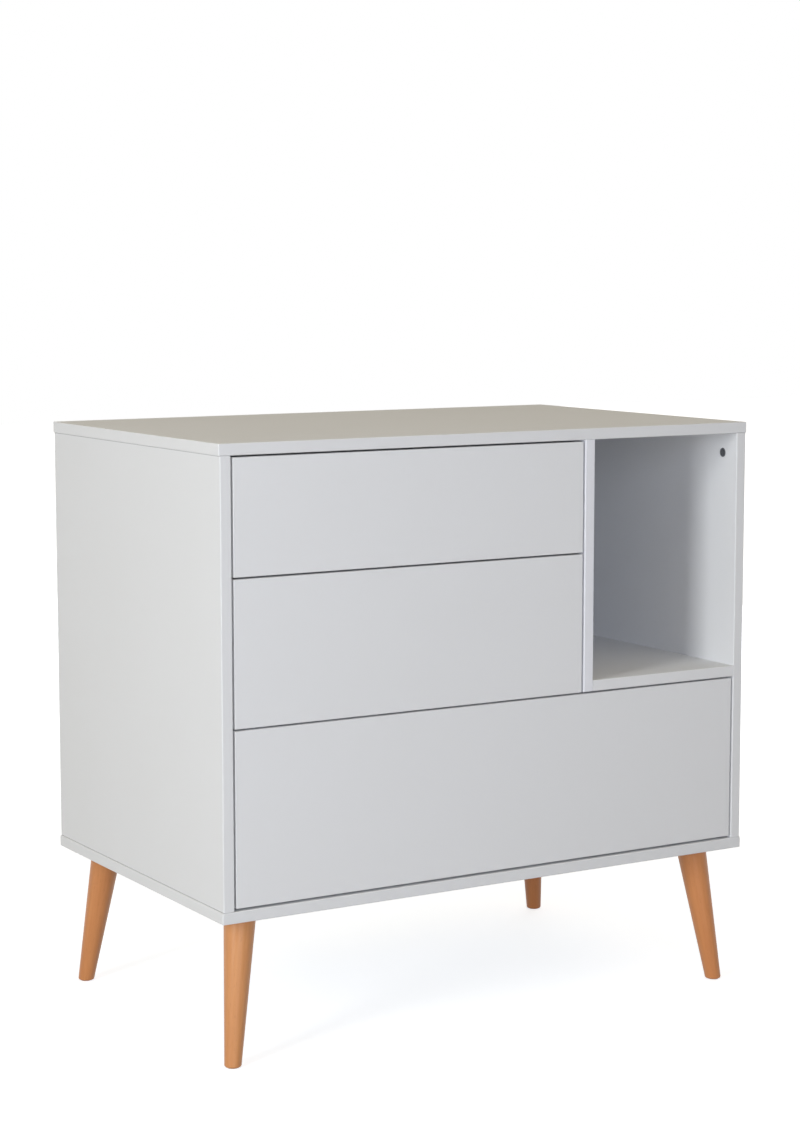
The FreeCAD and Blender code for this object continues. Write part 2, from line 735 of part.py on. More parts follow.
def leg(corner, along, deep):
    """A tapered round leg, leaning outwards, cut level at the floor and under the carcass."""
    body = doc.addObject("PartDesign::Body", f"{corner}_leg_turning")
    foot = "Sizes.leg_foot_radius - Layout.leg_taper * Layout.leg_spare"
    top = "Sizes.leg_top_radius + Layout.leg_taper * Layout.leg_spare"
    profile = outline(body, "XZ_Plane", f"{corner}_leg_profile", [
        ("0", "-Layout.leg_spare"), (foot, "-Layout.leg_spare"),
        (top, "Layout.leg_length + Layout.leg_spare"),
        ("0", "Layout.leg_length + Layout.leg_spare")])
    turning = body.newObject("PartDesign::Revolution", f"{corner}_leg_revolution")
    turning.Profile = profile
    turning.ReferenceAxis = (profile, ["V_Axis"])
    turning.Angle = 360
    lean = Rotation(Vector(deep, -along, 0), ANY_ANGLE)
    foot_x = f"{along} * (Layout.leg_x + Sizes.leg_splay)"
    foot_y = f"{deep} * (Layout.leg_y + Sizes.leg_splay)"
    place(body, foot_x, foot_y, "0", lean)
    body.setExpression("Placement.Rotation.Angle", "Layout.leg_lean")
    reach = "(2 * Sizes.leg_top_radius + Sizes.leg_splay)"
    band = box(f"{corner}_leg_band", f"{foot_x} - {reach}", f"{foot_y} - {reach}",
               "Sizes.glide_thickness", f"2 * {reach}", f"2 * {reach}",
               "Sizes.leg_height - Sizes.glide_thickness")
    level = doc.addObject("Part::MultiCommon", f"{corner}_leg_level")
    level.Shapes = [body, band]
    rounded = doc.addObject("PartDesign::Body", f"{corner}_leg_rounded")
    rounded.BaseFeature = level
    doc.recompute()
    underside = size("glide_thickness") + TOLERANCE
    soften(rounded, lambda edge: edge.ZMax < underside, "Sizes.leg_foot_round")
    bolt_x = f"{along} * Layout.leg_x"
    bolt_y = f"{deep} * Layout.leg_y"
    bolt_bore = cylinder(f"{corner}_leg_bolt_bore", "Sizes.leg_bolt_radius + Sizes.leg_fit_play",
                         "Sizes.leg_bolt_in_leg + Sizes.leg_fit_play", bolt_x, bolt_y,
                         "Sizes.leg_height - Sizes.leg_bolt_in_leg - Sizes.leg_fit_play")
    nail_bore = cylinder(f"{corner}_leg_nail_bore",
                         "Sizes.glide_nail_radius + Sizes.leg_fit_play",
                         "Sizes.glide_nail_length + Sizes.leg_fit_play", foot_x, foot_y,
                         "Sizes.glide_thickness")
    name = f"{corner}_leg"
    return name_node(cut(name, rounded, [bolt_bore, nail_bore]), name)


def legs():
    """The legs, the bolts and inserts that hold them, and their glides."""
    bolts = []
    inserts = []
    glides = []
    for corner, along, deep in leg_corners():
        leg(corner, along, deep)
        top_x = f"{along} * Layout.leg_x"
        top_y = f"{deep} * Layout.leg_y"
        bolts.append(cylinder(f"{corner}_leg_bolt", "Sizes.leg_bolt_radius",
                              "Sizes.leg_bolt_in_leg + Layout.leg_bolt_in_board", top_x, top_y,
                              "Sizes.leg_height - Sizes.leg_bolt_in_leg"))
        sleeve = cylinder(f"{corner}_sleeve", "Sizes.leg_insert_radius",
                          "Sizes.leg_insert_height", top_x, top_y, "Sizes.leg_height")
        thread = cylinder(f"{corner}_sleeve_bore", "Sizes.leg_bolt_radius + Sizes.leg_fit_play",
                          "Sizes.leg_insert_height", top_x, top_y, "Sizes.leg_height")
        inserts.append(cut(f"{corner}_leg_insert", sleeve, [thread]))
        foot_x = f"{along} * (Layout.leg_x + Sizes.leg_splay)"
        foot_y = f"{deep} * (Layout.leg_y + Sizes.leg_splay)"
        glides.append(fuse(f"{corner}_glide", [
            cylinder(f"{corner}_glide_pad", "Sizes.glide_radius", "Sizes.glide_thickness",
                     foot_x, foot_y),
            cylinder(f"{corner}_glide_nail", "Sizes.glide_nail_radius",
                     "Sizes.glide_nail_length", foot_x, foot_y, "Sizes.glide_thickness")]))
    group("leg_bolts", bolts)
    group("leg_inserts", inserts)
    group("leg_glides", glides)


# ---------------------------------------------------------------- the drawers

def box_dowel_sites(drawer):
    """The dowels of a drawer box: into the front, and through each side's face at the back."""
    low = f"Layout.{drawer}_box_bottom + Sizes.box_dowel_rise"
    high = (f"Layout.{drawer}_box_bottom + Layout.{drawer}_box_height"
            " - Sizes.box_dowel_drop")
    left_middle = f"Layout.{drawer}_box_left + Sizes.box_board / 2"
    front_end = "Layout.front_back - Sizes.box_dowel_in_front"
    back_middle = "Layout.box_rear - Sizes.box_board / 2"
    inner_left = f"Layout.{drawer}_box_inner_left"
    inner_right = f"Layout.{drawer}_box_inner_right"
    sites = []
    for z in (low, high):
        sites += [
            (left_middle, front_end, z, facing(Z_AXIS, -Y_AXIS)),
            (f"2 * Layout.{drawer}_middle - ({left_middle})", front_end, z,
             facing(Z_AXIS, -Y_AXIS)),
            (f"{inner_left} - Sizes.box_dowel_in_side", back_middle, z,
             facing(Z_AXIS, -X_AXIS)),
            (f"{inner_right} + Sizes.box_dowel_in_side", back_middle, z,
             facing(Z_AXIS, X_AXIS)),
        ]
    return sites


def floor_groove(left, width):
    """The groove for a drawer's floor, low in the inner face of a wall of the box."""
    return (rectangle(left, "Sizes.box_floor_rise - Sizes.groove_play", width,
                      "Sizes.box_floor_thickness + 2 * Sizes.groove_play"),
            "Sizes.groove_depth")


def drawer_front(drawer):
    """The front: all edges but the rear ones rounded, grooved for the box's floor."""
    def not_behind(edge):
        return edge.YMin < -TOLERANCE
    inner_width = f"Layout.{drawer}_box_inner_right - Layout.{drawer}_box_inner_left"
    groove = (rectangle(
        f"Layout.{drawer}_box_inner_left - Layout.{drawer}_bay_left - Sizes.reveal_side"
        " - Sizes.groove_depth",
        "Sizes.box_lift + Sizes.box_floor_rise - Sizes.groove_play",
        f"({inner_width}) + 2 * Sizes.groove_depth",
        "Sizes.box_floor_thickness + 2 * Sizes.groove_play"), "Sizes.groove_depth")
    blank = board(f"{drawer}_front_blank", "XZ_Plane", False,
                  f"Layout.{drawer}_bay_right - Layout.{drawer}_bay_left"
                  " - 2 * Sizes.reveal_side",
                  f"Layout.{drawer}_front_height", "Sizes.board",
                  [(not_behind, "Sizes.front_round")], [groove])
    place(blank, f"Layout.{drawer}_bay_left + Sizes.reveal_side", "Layout.front_back",
          f"Layout.{drawer}_front_bottom")
    bores = copies(f"{drawer}_front_bore", BOX_DOWEL_DRILL, box_dowel_sites(drawer))
    name = f"{drawer}_front"
    name_node(cut(name, blank, bores), name)


def drawer_sides(drawer):
    """The left side of the box, with its groove, dowel bores and screw bores, and its image."""
    height = size_of_box(drawer)

    def top_long(edge):
        return edge.ZMin > height - TOLERANCE and edge.YLength > TOLERANCE
    blank = board(f"{drawer}_left_side_blank", "YZ_Plane", True, "Layout.box_depth",
                  f"Layout.{drawer}_box_height", "Sizes.box_board",
                  [(top_long, "Sizes.box_round")], [floor_groove("0", "Layout.box_depth")])
    place(blank, f"Layout.{drawer}_box_inner_left", "Layout.front_back",
          f"Layout.{drawer}_box_bottom")
    bores = copies(f"{drawer}_side_bore", BOX_DOWEL_DRILL, box_dowel_sites(drawer))
    bores += copies(f"{drawer}_side_screw_bore", SCREW_DRILL,
                    drawer_screw_sites(drawer, "left"))
    left = name_node(cut(f"{drawer}_left_side", blank, bores), f"{drawer}_left_side")
    right = mirrored(f"{drawer}_right_side", left, f"Layout.{drawer}_middle")
    name_node(right, f"{drawer}_right_side")


def size_of_box(drawer):
    """The present height of a drawer's box, for choosing its upper edges."""
    return float(doc.Layout.get(f"{drawer}_box_height"))


def drawer_back(drawer):
    """The back of the box, between its sides."""
    height = size_of_box(drawer)

    def top_long(edge):
        return edge.ZMin > height - TOLERANCE and edge.XLength > TOLERANCE
    width = f"Layout.{drawer}_box_inner_right - Layout.{drawer}_box_inner_left"
    blank = board(f"{drawer}_back_blank", "XZ_Plane", True, width,
                  f"Layout.{drawer}_box_height", "Sizes.box_board",
                  [(top_long, "Sizes.box_round")], [floor_groove("0", width)])
    place(blank, f"Layout.{drawer}_box_inner_left", "Layout.box_rear - Sizes.box_board",
          f"Layout.{drawer}_box_bottom")
    bores = copies(f"{drawer}_back_bore", BOX_DOWEL_DRILL, box_dowel_sites(drawer))
    name_node(cut(f"{drawer}_back", blank, bores), f"{drawer}_back")


def drawer_floor(drawer):
    """The thin floor of the box, in the grooves of its four walls."""
    blank = board(f"{drawer}_floor", "XY_Plane", False,
                  f"Layout.{drawer}_box_inner_right - Layout.{drawer}_box_inner_left"
                  " + 2 * Layout.groove_reach",
                  "Layout.box_depth - Sizes.box_board + 2 * Layout.groove_reach",
                  "Sizes.box_floor_thickness")
    place(blank, f"Layout.{drawer}_box_inner_left - Layout.groove_reach",
          "Layout.front_back - Layout.groove_reach",
          f"Layout.{drawer}_box_bottom + Sizes.box_floor_rise")
    name_node(blank, f"{drawer}_floor")


# ---------------------------------------------------------------- the runners

def channel(name, height, flange, length, backwards):
    """A bent steel channel along Y: its web on X = 0, its flanges towards +X or, turned, -X."""
    body = doc.addObject("PartDesign::Body", name)
    sign = "-" if backwards else ""
    half = f"{height} / 2"
    lip = f"{half} - Sizes.rail_gauge"
    tip = f"{sign}{flange}"
    web = f"{sign}Sizes.rail_gauge"
    sketch = outline(body, "XZ_Plane", f"{name}_profile", [
        ("0", f"-{half}"), (tip, f"-{half}"), (tip, f"-({lip})"), (web, f"-({lip})"),
        (web, lip), (tip, lip), (tip, half), ("0", half)])
    pad(body, sketch, length, True)
    return body


def cabinet_rails(drawer):
    """The outer rails, screwed to the walls of the drawer's bay."""
    rail = channel(f"{drawer}_cabinet_channel", "Sizes.cabinet_rail_height",
                   "Layout.cabinet_rail_flange", "Layout.runner_length", False)
    place(rail, f"Layout.{drawer}_bay_left", "Layout.rail_front", f"Layout.{drawer}_rail_axis")
    bores = copies(f"{drawer}_cabinet_rail_bore", SCREW_DRILL,
                   cabinet_screw_sites(drawer, "left"))
    left = cut(f"{drawer}_left_cabinet_rail", rail, bores)
    pair(f"{drawer}_cabinet_rails", left, f"Layout.{drawer}_middle")


def middle_rails(drawer):
    """The middle rails, between the balls of the outer and the inner cages."""
    rail = channel(f"{drawer}_middle_channel", "Sizes.middle_rail_height",
                   "Layout.middle_rail_flange", "Layout.middle_rail_length", False)
    place(rail, f"Layout.{drawer}_bay_left + Layout.middle_rail_offset", "Layout.rail_front",
          f"Layout.{drawer}_rail_axis")
    pair(f"{drawer}_middle_rails", rail, f"Layout.{drawer}_middle")


def drawer_rails(drawer):
    """The inner rails, screwed to the drawer's sides, with the strikers of the catches."""
    rail = channel(f"{drawer}_inner_channel", "Sizes.drawer_rail_height",
                   "Layout.drawer_rail_flange", "Layout.drawer_rail_length", True)
    axis = f"Layout.{drawer}_rail_axis"
    place(rail, f"Layout.{drawer}_box_left", "Layout.rail_front", axis)
    rail_end = "Layout.rail_front + Layout.drawer_rail_length"
    tab = box(f"{drawer}_striker_tab", f"Layout.{drawer}_box_left - Sizes.rail_gauge",
              rail_end, f"{axis} - Sizes.striker_height / 2", "Sizes.rail_gauge",
              "Sizes.striker_length", "Sizes.striker_height")
    pin = cylinder(f"{drawer}_striker_pin", "Sizes.striker_pin_radius",
                   "Sizes.striker_pin_length + Sizes.rail_gauge",
                   f"Layout.{drawer}_box_left - Sizes.striker_pin_length - Sizes.rail_gauge",
                   f"{rail_end} + Sizes.striker_length - Sizes.striker_pin_end", axis,
                   LENGTHWAYS)
    bores = copies(f"{drawer}_inner_rail_bore", SCREW_DRILL, drawer_screw_sites(drawer, "left"))
    left = cut(f"{drawer}_left_rail", fuse(f"{drawer}_rail_and_striker", [rail, tab, pin]),
               bores)
    pair(f"{drawer}_rails", left, f"Layout.{drawer}_middle")


def ball_cage(name, drawer, middle_x, race, ball):
    """The upper and lower ball cages of one runner: a strip with its balls, in each race."""
    strips = []
    left = f"Layout.{drawer}_bay_left"
    for level, sign in (("upper", 1), ("lower", -1)):
        height = f"Layout.{drawer}_rail_axis + {sign} * ({race} - Sizes.ball_play - {ball})"
        parts = [box(f"{name}_{level}_strip",
                     f"{left} + {middle_x} - Sizes.cage_width / 2", "Layout.cage_front",
                     f"{height} - Sizes.cage_thickness / 2", "Sizes.cage_width",
                     "Layout.cage_length", "Sizes.cage_thickness")]
        for number in range(BALLS_PER_CAGE):
            sphere = doc.addObject("Part::Sphere", f"{name}_{level}_ball_{number + 1}")
            sphere.setExpression("Radius", ball)
            share = (number + 0.5) / BALLS_PER_CAGE
            parts.append(place(sphere, f"{left} + {middle_x}",
                               f"Layout.cage_front + {share} * Layout.cage_length", height))
        strips.append(fuse(f"{name}_{level}_cage", parts))
    return strips


def ball_cages(drawer):
    """The outer and the inner ball cages of a drawer's two runners."""
    outer_x = "(Layout.middle_rail_offset + Layout.cabinet_rail_flange) / 2"
    inner_x = ("(Sizes.runner_gap - Layout.drawer_rail_flange + Layout.middle_rail_offset"
               " + Layout.middle_rail_flange) / 2")
    for kind, middle_x, race, ball in (
            ("outer", outer_x, "Layout.outer_race", "Layout.outer_ball"),
            ("inner", inner_x, "Layout.inner_race", "Layout.inner_ball")):
        name = f"{drawer}_{kind}_ball_cages"
        left = ball_cage(name, drawer, middle_x, race, ball)
        right = [mirrored(f"{cage.Name}_right_hand", cage, f"Layout.{drawer}_middle")
                 for cage in left]
        group(name, left + right)


def push_catch(drawer):
    """The left catch of a drawer, in the rear end of its outer rail, and its mirror image."""
    axis = f"Layout.{drawer}_rail_axis"
    web = f"Layout.{drawer}_bay_left + Sizes.rail_gauge"
    housing = box(f"{drawer}_catch_housing", web, "Layout.catch_front",
                  f"{axis} - Sizes.catch_height / 2", "Layout.catch_thickness",
                  "Sizes.catch_length", "Sizes.catch_height")
    slot = box(f"{drawer}_catch_slot",
               f"{web} + Layout.catch_thickness - Sizes.catch_slot_depth",
               "Layout.catch_front", f"{axis} - Sizes.catch_slot_height / 2",
               "Sizes.catch_slot_depth", "Sizes.catch_slot_length", "Sizes.catch_slot_height")
    left = cut(f"{drawer}_left_catch", housing, [slot])
    return [left, mirrored(f"{drawer}_right_catch", left, f"Layout.{drawer}_middle")]


def drawer_assembly(drawer):
    """One drawer with everything that moves with it, and its runners."""
    drawer_front(drawer)
    drawer_sides(drawer)
    drawer_back(drawer)
    drawer_floor(drawer)
    group(f"{drawer}_dowels", copies(f"{drawer}_dowel", BOX_DOWEL, box_dowel_sites(drawer)))
    screws = []
    for side in ("left", "right"):
        screws += copies(f"{drawer}_{side}_rail_screw", SCREW, drawer_screw_sites(drawer, side))
    group(f"{drawer}_rail_screws", screws)
    drawer_rails(drawer)
    middle_rails(drawer)
    cabinet_rails(drawer)
    ball_cages(drawer)


# ---------------------------------------------------------------- making and writing it

def check_document():
    """Stops on any failed object and on any sub-part without a valid shape."""
    for thing in doc.Objects:
        if "Invalid" in thing.State or "Error" in thing.State:
            raise RuntimeError(f"{thing.Name} failed: {thing.State}")
    for node in nodes:
        if node.Shape.isNull() or not node.Shape.isValid() or not node.Shape.Solids:
            raise RuntimeError(f"{node.Label} has no valid shape")


def write_parts():
    """Writes each sub-part to a file of its own."""
    os.makedirs("parts", exist_ok=True)
    for node in nodes:
        node.Shape.exportStep(f"parts/{node.Label}.step")
        print(f"{node.Label}: {len(node.Shape.Solids)} solid(s)")


carcass()
legs()
for drawer in DRAWERS:
    drawer_assembly(drawer)
catches = []
for drawer in DRAWERS:
    catches += push_catch(drawer)
group("push_catches", catches)
doc.recompute()
check_document()
write_parts()
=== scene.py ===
import json
import math

import bpy
from mathutils import Euler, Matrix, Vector

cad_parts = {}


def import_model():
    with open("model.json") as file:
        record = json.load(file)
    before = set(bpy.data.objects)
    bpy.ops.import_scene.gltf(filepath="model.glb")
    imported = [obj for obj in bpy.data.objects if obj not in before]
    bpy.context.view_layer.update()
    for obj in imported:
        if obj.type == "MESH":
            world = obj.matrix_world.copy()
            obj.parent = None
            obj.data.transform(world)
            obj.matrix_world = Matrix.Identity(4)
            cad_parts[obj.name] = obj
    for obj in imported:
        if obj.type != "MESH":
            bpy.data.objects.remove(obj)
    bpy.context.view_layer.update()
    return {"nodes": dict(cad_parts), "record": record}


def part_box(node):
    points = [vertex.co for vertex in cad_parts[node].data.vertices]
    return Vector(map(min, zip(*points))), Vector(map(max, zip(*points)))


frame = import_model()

# A changing dresser: lacquered boards on turned beech legs, seen from its front left corner.
# Metres, +X to the right of someone facing the drawers, +Y into the depth, +Z up.

nodes = frame["nodes"]
scene = bpy.context.scene


# ---------------------------------------------------------------- material helpers

def srgb(red, green, blue):
    """A colour given as 0 to 255, as linear values."""
    def linear(value):
        share = value / 255
        return share / 12.92 if share <= 0.04045 else ((share + 0.055) / 1.055) ** 2.4
    return (linear(red), linear(green), linear(blue), 1.0)


class Recipe:
    """A material under construction: its nodes are added by short calls."""

    def __init__(self, name):
        self.material = bpy.data.materials.new(name)
        self.material.use_nodes = True
        self.tree = self.material.node_tree
        self.shader = self.tree.nodes["Principled BSDF"]
        self.place = self.add("ShaderNodeTexCoord").outputs["Object"]

    def add(self, kind, **settings):
        """Adds a node of a kind, with its settings."""
        node = self.tree.nodes.new(kind)
        for key, value in settings.items():
            setattr(node, key, value)
        return node

    def link(self, source, target):
        """Links an output to a socket."""
        self.tree.links.new(source, target)

    def fill(self, socket, value):
        """Links an output to a socket, or sets the socket to a number or colour."""
        if isinstance(value, bpy.types.NodeSocket):
            self.link(value, socket)
        else:
            socket.default_value = value

    def set(self, **sockets):
        """Fills the shader's sockets: an underscore in a name stands for a space."""
        for name, value in sockets.items():
            self.fill(self.shader.inputs[name.replace("_", " ")], value)

    def stretched(self, scale):
        """The object's coordinates, each axis multiplied by its own scale."""
        mapping = self.add("ShaderNodeMapping")
        mapping.inputs["Scale"].default_value = scale
        self.link(self.place, mapping.inputs["Vector"])
        return mapping.outputs["Vector"]

    def noise(self, vector, scale, detail=4.0, roughness=0.5, distortion=0.0):
        """A noise from 0 to 1 over the coordinates of a vector."""
        node = self.add("ShaderNodeTexNoise")
        node.inputs["Scale"].default_value = scale
        node.inputs["Detail"].default_value = detail
        node.inputs["Roughness"].default_value = roughness
        node.inputs["Distortion"].default_value = distortion
        self.link(vector, node.inputs["Vector"])
        return node.outputs["Fac"]

    def ramp(self, factor, stops):
        """A colour ramp, with its stops as (position, colour)."""
        node = self.add("ShaderNodeValToRGB")
        elements = node.color_ramp.elements
        while len(elements) < len(stops):
            elements.new(0.5)
        for element, (position, colour) in zip(elements, stops):
            element.position = position
            element.color = colour
        self.link(factor, node.inputs["Fac"])
        return node.outputs["Color"]

    def spread(self, factor, low, high):
        """Maps a factor's 0..1 to low..high."""
        node = self.add("ShaderNodeMapRange")
        node.inputs["To Min"].default_value = low
        node.inputs["To Max"].default_value = high
        self.link(factor, node.inputs["Value"])
        return node.outputs["Result"]

    def between(self, value, start, stop, first, last):
        """Runs smoothly from first to last while a value runs from start to stop."""
        node = self.add("ShaderNodeMapRange", interpolation_type="SMOOTHSTEP")
        for name, number in (("From Min", start), ("From Max", stop), ("To Min", first),
                             ("To Max", last)):
            node.inputs[name].default_value = number
        self.link(value, node.inputs["Value"])
        return node.outputs["Result"]

    def math(self, operation, *values):
        """One operation on numbers or outputs."""
        node = self.add("ShaderNodeMath", operation=operation)
        for socket, value in zip(node.inputs, values):
            self.fill(socket, value)
        return node.outputs["Value"]

    def mix(self, factor, first, second, blend="MIX"):
        """Mixes two colours or outputs by a factor or an output."""
        node = self.add("ShaderNodeMix", data_type="RGBA", blend_type=blend)
        for name, value in (("Factor", factor), ("A", first), ("B", second)):
            self.fill(node.inputs[name], value)
        return node.outputs["Result"]

    def bump(self, height, strength, distance):
        """A bumped normal, from a height of 0 to 1 that stands for a distance."""
        node = self.add("ShaderNodeBump")
        node.inputs["Strength"].default_value = strength
        node.inputs["Distance"].default_value = distance
        self.link(height, node.inputs["Height"])
        return node.outputs["Normal"]


# ---------------------------------------------------------------- colours and tones

BLACK = srgb(0, 0, 0)
WHITE = srgb(255, 255, 255)

# A board's shades are a cool and a warm grey, which its lacquer drifts between.
LEFT_PANEL, RIGHT_PANEL = "left_side_panel", "right_side_panel"
FRONT_SHADES = (srgb(236, 237, 239), srgb(234, 235, 236))
# The top, bottom and left boards are painted a little darker than the fronts as painted shade;
# the right side panel keeps the fronts' lighter greys and the divider is lighter and bluer, as
# painted light in the niche.
CARCASS_SHADES_DIMMED = (srgb(233, 234, 236), srgb(231, 232, 233))
DIVIDER_SHADES_LIT = (srgb(240, 241, 247), srgb(238, 239, 244))
BOARD_SHADES_AND_LIGHT = {
    "top_panel": CARCASS_SHADES_DIMMED,
    "bottom_panel": CARCASS_SHADES_DIMMED,
    LEFT_PANEL: CARCASS_SHADES_DIMMED,
    RIGHT_PANEL: FRONT_SHADES,
    "divider": DIVIDER_SHADES_LIT,
}
LACQUER_DUST = srgb(224, 225, 227)

# Painted shade in a seam: full up to the core, gone at the reach, and thin away from the outer
# edge.
SEAM_SHADE = srgb(150, 150, 152)
SEAM_CORE, SEAM_REACH = 0.0006, 0.0011
SEAM_THIN = 0.3
LOWER_SEAM, UPPER_SEAM = 1.0, 0.6

BOX_BOARD_LIGHT = srgb(226, 226, 224)
BOX_BOARD_DARK = srgb(218, 218, 217)
HARDBOARD_LIGHT = srgb(222, 222, 221)
HARDBOARD_DARK = srgb(212, 212, 212)
DOWEL_DARK = srgb(190, 150, 108)
DOWEL_LIGHT = srgb(222, 188, 146)

BEECH_DARK = srgb(208, 132, 71)
BEECH = srgb(214, 139, 78)
BEECH_LIGHT = srgb(220, 147, 86)
BEECH_WARM = srgb(246, 234, 220)
BEECH_FLECK = srgb(168, 98, 50)

# What each leg's colour is multiplied by: partly each piece of wood's own tone, partly painted
# # light, paler on the front left leg as a painted highlight, and darker on the other three,
# most
# # on the rear right one, as painted shade.
LEG_TONES_AND_LIGHT = {
    "front_left_leg": (0.93, 1.06, 1.22),
    "rear_left_leg": (0.86, 0.88, 0.88),
    "front_right_leg": (0.91, 0.93, 0.97),
    "rear_right_leg": (0.83, 0.77, 0.66),
}
LEG_END_BAND = 0.0005

# How much rougher the dullest blotches of a metal are than its brightest.
STEEL_BLOTCH = 0.14


# ---------------------------------------------------------------- materials

def lacquer(name, shades, seams=()):
    """Matt pale grey lacquer on smooth board: faint orange peel, fine specks, soft clouds.

    Seams are (height, share): where the board butts against another, its eased edge takes
    that share of painted shade, the shade of the joint.
    """
    recipe = Recipe(name)
    peel = recipe.noise(recipe.place, scale=420, detail=2)
    cloud = recipe.noise(recipe.place, scale=3.2, detail=3)
    speck = recipe.noise(recipe.place, scale=900, detail=1)
    cool, warm = shades
    base = recipe.mix(cloud, cool, warm)
    base = recipe.mix(recipe.spread(speck, low=0.0, high=0.12), base, LACQUER_DUST)
    # Each seam darkens the board's eased edge with painted shade.
    for height, share in seams:
        base = recipe.mix(seam_shade(recipe, height, share), base, SEAM_SHADE)
    recipe.set(Base_Color=base, Roughness=recipe.spread(cloud, low=0.52, high=0.60),
               Normal=recipe.bump(peel, strength=0.10, distance=0.0002),
               Specular_IOR_Level=0.03)
    return recipe.material


def seam_shade(recipe, height, share):
    """Painted shade next to a height: its full share on the outer edge, little of it on the
    front.
    """
    split = recipe.add("ShaderNodeSeparateXYZ")
    recipe.link(recipe.place, split.inputs["Vector"])
    offset = recipe.math("SUBTRACT", split.outputs["Z"], height)
    near = recipe.between(recipe.math("ABSOLUTE", offset), start=SEAM_CORE, stop=SEAM_REACH,
                          first=share, last=0.0)
    outer_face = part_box(RIGHT_PANEL)[1].x
    depth = recipe.math("SUBTRACT", outer_face, recipe.math("ABSOLUTE", split.outputs["X"]))
    thinning = recipe.between(depth, start=SEAM_CORE, stop=2 * SEAM_REACH,
                              first=1.0, last=SEAM_THIN)
    return recipe.math("MULTIPLY", near, thinning)


def melamine():
    """Matt white board of the drawer boxes: a fine pressed grain."""
    recipe = Recipe("drawer_box_board")
    grain = recipe.noise(recipe.stretched((1, 0.08, 1)), scale=600, detail=3)
    cloud = recipe.noise(recipe.place, scale=5, detail=2)
    base = recipe.mix(cloud, BOX_BOARD_LIGHT, BOX_BOARD_DARK)
    recipe.set(Base_Color=base, Roughness=recipe.spread(grain, low=0.46, high=0.58),
               Normal=recipe.bump(grain, strength=0.12, distance=0.0002))
    return recipe.material


def hardboard():
    """Foil-faced hardboard of the back and the drawer floors: a faint felt texture."""
    recipe = Recipe("hardboard")
    felt = recipe.noise(recipe.place, scale=260, detail=5, roughness=0.7)
    cloud = recipe.noise(recipe.place, scale=4, detail=2)
    base = recipe.mix(cloud, HARDBOARD_LIGHT, HARDBOARD_DARK)
    recipe.set(Base_Color=base, Roughness=recipe.spread(felt, low=0.5, high=0.65),
               Normal=recipe.bump(felt, strength=0.15, distance=0.0003))
    return recipe.material


def beech(name, along, tone_and_light):
    """Clear-lacquered beech: fine long grain along the leg, with short dark ray flecks."""
    recipe = Recipe(name)
    recipe.place = tilted(recipe, along)
    grain = recipe.noise(recipe.stretched((1, 1, 0.045)), scale=150, detail=6, roughness=0.6,
                         distortion=0.25)
    bands = recipe.noise(recipe.stretched((1, 1, 0.10)), scale=26, detail=3, distortion=0.6)
    flecks = recipe.noise(recipe.stretched((1, 1, 0.14)), scale=620, detail=2)
    base = recipe.ramp(grain, [(0.28, BEECH_DARK), (0.52, BEECH), (0.78, BEECH_LIGHT)])
    base = recipe.mix(recipe.spread(bands, low=0.0, high=0.55), base, BEECH_WARM, "MULTIPLY")
    dark = recipe.ramp(flecks, [(0.60, BLACK), (0.74, WHITE)])
    base = recipe.mix(recipe.spread(dark, low=0.0, high=0.25), base, BEECH_FLECK)
    # The leg's tone multiplies its whole colour: partly the wood's own tone, partly painted
    # light and shade.
    base = recipe.mix(1.0, base, (*tone_and_light, 1.0), "MULTIPLY")
    recipe.set(Base_Color=base, Roughness=recipe.spread(grain, low=0.34, high=0.44),
               Normal=recipe.bump(grain, strength=0.12, distance=0.0002),
               Specular_IOR_Level=0.6)
    return recipe.material


def tilted(recipe, along):
    """Object coordinates turned so that Z runs along a leaning leg."""
    mapping = recipe.add("ShaderNodeMapping", vector_type="TEXTURE")
    turn = Vector((0, 0, 1)).rotation_difference(along)
    mapping.inputs["Rotation"].default_value = turn.to_euler()
    recipe.link(recipe.place, mapping.inputs["Vector"])
    return mapping.outputs["Vector"]


def raw_wood():
    """Raw beech dowels: pale and matt, with a fine mottle."""
    recipe = Recipe("dowel_wood")
    mottle = recipe.noise(recipe.place, scale=700)
    base = recipe.ramp(mottle, [(0.3, DOWEL_DARK), (0.7, DOWEL_LIGHT)])
    recipe.set(Base_Color=base, Roughness=0.7,
               Normal=recipe.bump(mottle, strength=0.3, distance=0.0003))
    return recipe.material


def steel(name, dark, light, roughness, streak):
    """Metal with a slight blotchiness and fine streaks, which streak stretches by axis."""
    recipe = Recipe(name)
    streaks = recipe.noise(recipe.stretched(streak), scale=900, detail=3)
    blotch = recipe.noise(recipe.place, scale=60)
    base = recipe.ramp(streaks, [(0.25, dark), (0.75, light)])
    recipe.set(Base_Color=base, Metallic=1.0,
               Roughness=recipe.spread(blotch, low=roughness, high=roughness + STEEL_BLOTCH),
               Normal=recipe.bump(streaks, strength=0.08, distance=0.0001))
    return recipe.material


def moulded(name, colour, shade, roughness):
    """Moulded plastic with a fine spark-eroded texture."""
    recipe = Recipe(name)
    pits = recipe.noise(recipe.place, scale=1500, detail=2)
    cloud = recipe.noise(recipe.place, scale=40, detail=2)
    recipe.set(Base_Color=recipe.mix(cloud, colour, shade), Roughness=roughness,
               Normal=recipe.bump(pits, strength=0.2, distance=0.0002))
    return recipe.material


